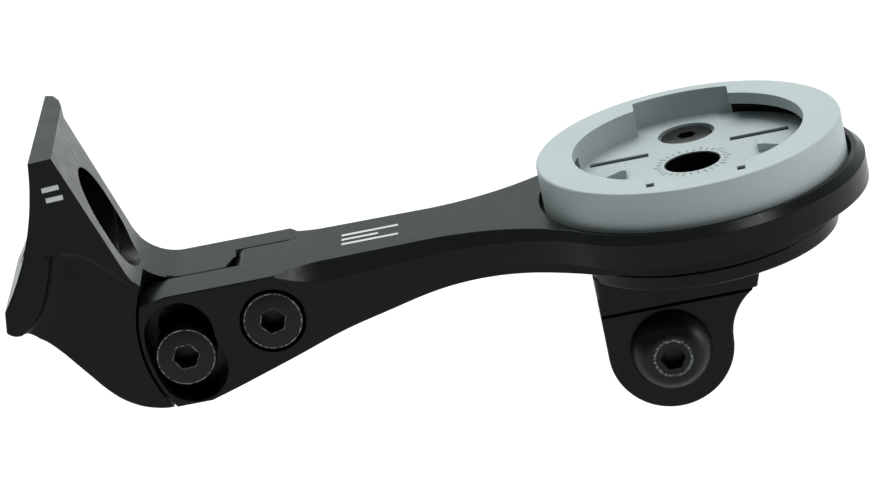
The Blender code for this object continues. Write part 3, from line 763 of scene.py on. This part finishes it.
# Painted shade: a thin black wall lining the insert's centre hole, whose grey plastic wall is only
# shaded.
def centre_hole_painted_shade():
    low, high = RECESS_FLOOR_Z + 0.05, INSERT_FLOOR_Z - 0.1
    wall = ((CENTRE_HOLE_R - 0.14, low), (CENTRE_HOLE_R - 0.14, high),
            (CENTRE_HOLE_R - 0.02, high), (CENTRE_HOLE_R - 0.02, low))
    return turned(wall, 96, (HEAD_X, 0, 0))


def boxes(places):
    """Thin raised blocks given as (centre, along, half length, half width, height)."""
    bm = bmesh.new()
    for centre, along, half_long, half_wide, up in places:
        centre, along, up = Vector(centre), Vector(along).normalized(), Vector(up)
        across = up.normalized().cross(along)
        ring = []
        for h in (-0.05 * up.normalized(), up):
            for a, b in ((-1, -1), (1, -1), (1, 1), (-1, 1)):
                ring.append(bm.verts.new(centre + along * a * half_long + across * b * half_wide + h))
        for face in ((0, 1, 2, 3), (4, 5, 6, 7), (0, 1, 5, 4), (1, 2, 6, 5), (2, 3, 7, 6),
                     (3, 0, 4, 7)):
            bm.faces.new([ring[k] for k in face])
    return solid(bm)


def painted_slit_shade():
    """Black boxes of painted shade just under the floor inside the four slits, standing in for the
    shaded gap.
    """
    places = []
    for side in (-1, 1):
        for y in (-SLIT_Y, SLIT_Y):
            centre = (HEAD_X + side * (SLIT_FROM + SLIT_TO) / 2, y, INSERT_FLOOR_Z - 0.3)
            places.append((centre, (1, 0, 0), (SLIT_TO - SLIT_FROM) / 2 - 0.02, SLIT_HALF - 0.02,
                           (0, 0, 0.05)))
    return boxes(places)


def make_ticks():
    places = []
    for k in range(TICKS):
        a = 2 * pi * k / TICKS
        out = Vector((cos(a), sin(a), 0))
        half = 0.45 if k % 3 == 0 else 0.28
        centre = Vector((HEAD_X, 0, INSERT_FLOOR_Z)) + out * (TICK_R + half)
        places.append((centre, out, half, 0.11, (0, 0, 0.03)))
    return boxes(places)


def make_arm_marks():
    return boxes([((x, y, ARM_TOP_Z), (1, 0.0, 0), half, 0.32, (0, 0, 0.03))
                  for x, y, half in ARM_MARKS])


def make_bracket_marks():
    out = Vector((SIDE_TAPER, -1, 0)).normalized()
    along = (1, SIDE_TAPER, 0)
    return boxes([((x, side_y(x), z), along, half, 0.3, out * 0.03)
                  for x, z, half in BRACKET_MARKS])


def make_adapter():
    top = ARM_BOTTOM_Z - GAP
    reach = degrees(acos((HEAD_X - PLATE_FROM_X) / PLATE_R))
    plate = arc(HEAD_X, 0, PLATE_R, 180 + reach + 2, 540 - reach - 2, 160)
    corner = HEAD_X + PLATE_R * cos(radians(180 + reach)), PLATE_R * sin(radians(180 + reach))
    plate += [(PLATE_FROM_X + 0.25, -corner[1] - 0.15), (PLATE_FROM_X, -corner[1] - 0.7),
              (PLATE_FROM_X, corner[1] + 0.7), (PLATE_FROM_X + 0.25, corner[1] + 0.15)]
    body = slab(plate, PLATE_BOTTOM_Z, top, "Z", 0.3, 0.2)
    r = 1.2
    x0, x1, y = PLATE_FROM_X, BLOCK_TO_X, BLOCK_HALF_Y
    block = arc(x1 - r, y - r, r, 90, 0, 6) + arc(x1 - r, r - y, r, 0, -90, 6)
    block += arc(x0 + r, r - y, r, 270, 180, 6) + arc(x0 + r, y - r, r, 180, 90, 6)
    join(body, prism(block, BLOCK_BOTTOM_Z, PLATE_BOTTOM_Z + 0.5, "Z"))

    ex, ez = EAR_CENTRE
    rise = PRONG_FLARE_Z - ez
    flare_x = ex + sqrt((PRONG_R + PRONG_FLARE_R) ** 2 - rise ** 2)
    touch = degrees(atan2(rise, flare_x - ex))
    ear = arc(ex, ez, PRONG_R, 180, 360 + touch, 72)
    ear += arc(flare_x, PRONG_FLARE_Z, PRONG_FLARE_R, 180 + touch, 116, 20)[1:]
    ear += [(BAR_TO_X, BLOCK_BOTTOM_Z - 0.4), (BAR_TO_X, BLOCK_BOTTOM_Z),
            (BLOCK_TO_X - 2, BLOCK_BOTTOM_Z + 0.5), (PLATE_FROM_X, BLOCK_BOTTOM_Z + 0.5)]
    bar = slab(ear, -BAR_HALF_Y, BAR_HALF_Y, "Y", 0.9, 0.9)
    cut(bar, prism([(30, -30), (70, -30), (70, BAR_BOTTOM_Z), (30, BAR_BOTTOM_Z)], -15, 15, "Y"))
    join(body, bar)
    for low, high in PRONGS:
        join(body, slab(ear, low, high, "Y", 0.35, 0.35))
    for side in (-1, 1):
        for y, z in ((BAR_HALF_Y, BLOCK_BOTTOM_Z - 0.3), (PRONGS[2][1], BAR_BOTTOM_Z)):
            low, high = sorted((side * (y - GROOVE_DEPTH), side * (y + 1)))
            groove = [(30, z - GROOVE_HEIGHT), (70, z - GROOVE_HEIGHT), (70, z), (30, z)]
            cut(body, prism(groove, low, high, "Y"))
    cut(body, rod(M5_CLEAR_R, -12, 12, ex, ez))
    for side in (-INSERT_SCREW_Y, INSERT_SCREW_Y):
        cut(body, rod(M3_R + GAP, PLATE_BOTTOM_Z - 1, 0, HEAD_X, side, "Z", 32))
    return body


def make_camera_bolt():
    ex, ez = EAR_CENTRE
    seat = PRONGS[0][0] - GAP
    top = seat - M5_HEAD_H
    profile = [(0, top), (2.3, top)]
    for k in range(1, 13):
        a = radians(90 - 62 * k / 12)
        u = cos(a) / cos(radians(28))
        profile.append((2.3 + (M5_HEAD_R - 2.3) * u,
                        top + M5_HEAD_H * 0.86 * (1 - sin(a)) / (1 - sin(radians(28)))))
    profile += [(M5_HEAD_R, seat), (M5_R, seat), (M5_R, PRONGS[2][1] + NUT_H + 0.8),
                (0, PRONGS[2][1] + NUT_H + 0.8)]
    bolt = turned(profile, 96, (ex, 0, ez), "Y")
    hexa = hexagon(HEX_AF, ex, ez)
    return cut(bolt, prism(hexa, top - 1, top + 1.8, "Y"))


def make_camera_nut():
    ex, ez = EAR_CENTRE
    low = PRONGS[2][1] + GAP
    nut = slab(hexagon(NUT_AF, ex, ez), low, low + NUT_H, "Y", 0.3, 0.3)
    return cut(nut, rod(M5_CLEAR_R, 0, 20, ex, ez))


# ---- build -----------------------------------------------------------------------------------

lx, lz = lock_place()
piece(make_bracket(), "bracket_body", BLACK, "black_anodised", "bracket", "stem_bracket")
piece(cap_screw(0, 0, HUB_FAR_Y, 7.6, 12), "tilt_cap_screw", STEEL, "black_oxide_steel",
      "bracket", "tilt_screw")
piece(cap_screw(lx, lz, CHEEK_FAR_Y, 6.4, 2), "lock_cap_screw", STEEL, "black_oxide_steel",
      "bracket", "lock_screw")
# Painted highlights: bright rings on the screw heads' edges and round their sockets.
rim_y = -CHEEK_HALF_WIDTH - HEAD_PROUD - RIM_PROUD
for x, z, name in ((0, 0, "tilt"), (lx, lz, "lock")):
    piece(ring_y(x, z, M4_HEAD_R - 0.22, M4_HEAD_R - 0.09, rim_y), name + "_head_rim",
          RIM, "black_oxide_steel", "bracket")
    piece(hex_rim(x, z, 12 if name == "tilt" else 2, rim_y), name + "_socket_rim", RIM,
          "black_oxide_steel", "bracket")
piece(make_bracket_marks(), "bracket_marks", MARK, "grey_moulded", "bracket")

piece(make_arm(), "arm_body", BLACK, "black_anodised", "arm", "arm")
piece(make_insert(), "seat_insert", GREY, "grey_moulded", "arm", "computer_insert")
for y, side in ((INSERT_SCREW_Y, "far"), (-INSERT_SCREW_Y, "near")):
    piece(insert_screw(y), "seat_screw_" + side, STEEL, "black_oxide_steel", "arm",
          "insert_screw_" + side)
piece(make_adapter(), "adapter_body", BLACK, "black_anodised", "arm", "camera_adapter")
piece(make_camera_bolt(), "cross_bolt", STEEL, "black_oxide_steel", "arm", "camera_bolt")
# Painted highlight: bright ring on the cross bolt's flat face round its socket.
bolt_rim_y = PRONGS[0][0] - GAP - M5_HEAD_H - RIM_PROUD
piece(ring_y(*EAR_CENTRE, 2.02, 2.32, bolt_rim_y), "bolt_face_rim", RIM,
      "black_oxide_steel", "arm")
# Painted shade: black bands inside the undercuts behind the lips.
for turn, side in ((0, "far"), (180, "near")):
    piece(painted_undercut_shade(turn), "painted_undercut_shade_" + side, BLACK, "black_anodised", "arm")
# Painted shade: black lining in the centre hole.
piece(centre_hole_painted_shade(), "centre_hole_painted_shade", BLACK, "black_anodised", "arm")
# Painted shade: black floor inside the slits.
piece(painted_slit_shade(), "painted_slit_shade", BLACK, "black_anodised", "arm")
piece(make_ticks(), "insert_ticks", TICK, "grey_moulded", "arm")
piece(make_arm_marks(), "arm_marks", MARK, "grey_moulded", "arm")
piece(make_camera_nut(), "cross_nut", STEEL, "black_oxide_steel", "arm", "camera_nut")


# ---- stage -----------------------------------------------------------------------------------

def make_floor():
    half, z = 4.0, PIVOT.z - 0.052
    mesh = bpy.data.meshes.new("floor")
    mesh.from_pydata([(-half, -half, z), (half, -half, z), (half, half, z), (-half, half, z)],
                     [], [(0, 1, 2, 3)])
    floor = bpy.data.objects.new("floor", mesh)
    bpy.context.collection.objects.link(floor)
    mat, nodes, links, shader = new_material("pale_floor")
    shader.inputs["Base Color"].default_value = (0.92, 0.92, 0.92, 1)
    shader.inputs["Roughness"].default_value = 0.9
    shader.inputs["Specular IOR Level"].default_value = 0.1
    mesh.materials.append(mat)


def area_light(name, place, target, size, size_y, power):
    data = bpy.data.lights.new(name, "AREA")
    data.shape = "RECTANGLE"
    data.size, data.size_y = size, size_y
    data.energy = power
    lamp = bpy.data.objects.new(name, data)
    lamp.location = place
    lamp.rotation_euler = (Vector(target) - Vector(place)).to_track_quat("-Z", "Y").to_euler()
    bpy.context.collection.objects.link(lamp)


def make_world():
    """Soft surround: bright above and behind, dimmer in front."""
    world = bpy.data.worlds.new("studio")
    world.use_nodes = True
    nodes, links = world.node_tree.nodes, world.node_tree.links
    split = nodes.new("ShaderNodeSeparateXYZ")
    links.new(nodes.new("ShaderNodeTexCoord").outputs["Generated"], split.inputs["Vector"])
    back = remap(nodes, links, split.outputs["Y"], 0.03, 0.95, -0.1, 0.75)
    up = remap(nodes, links, split.outputs["Z"], 0.0, 0.6, 0.35, 0.95)
    total = nodes.new("ShaderNodeMath")
    total.operation = "MAXIMUM"
    links.new(back, total.inputs[0])
    links.new(up, total.inputs[1])
    links.new(total.outputs["Value"], nodes["Background"].inputs["Strength"])
    nodes["Background"].inputs["Color"].default_value = (0.9, 1.0, 1.0, 1)
    bpy.context.scene.world = world


def make_camera():
    az, el, roll = radians(3.601), radians(19.838), radians(-12.251)
    distance, lens = 0.474517, 166.98
    look = PIVOT + Vector((19.857, 0, 2.643)) * MM
    back = Vector((sin(az) * cos(el), -cos(az) * cos(el), sin(el)))
    right = Vector((cos(az), sin(az), 0))
    up = back.cross(right)
    across = cos(roll) * right + sin(roll) * up
    upward = cos(roll) * up - sin(roll) * right
    data = bpy.data.cameras.new("camera")
    data.sensor_width = 36
    data.lens = lens
    data.clip_start, data.clip_end = 0.01, 20
    camera = bpy.data.objects.new("camera", data)
    turn = Matrix((across, upward, back)).transposed().to_4x4()
    camera.matrix_world = Matrix.Translation(look + back * distance) @ turn
    bpy.context.collection.objects.link(camera)
    bpy.context.scene.camera = camera


bpy.context.scene.view_settings.view_transform = "Standard"
make_floor()
make_world()
area_light("top_softbox", (0.05, 0.75, 1.25), (0.04, 0.45, -0.06), 1.4, 1.0, 19.0)
area_light("side_softbox", (0.45, -0.25, 0.85), (0.03, 0.0, 0.0), 0.15, 0.15, 1.8)
area_light("right_softbox", (1.2, -0.15, 0.18), (0.03, 0.0, 0.0), 0.5, 0.5, 4.0)
make_camera()
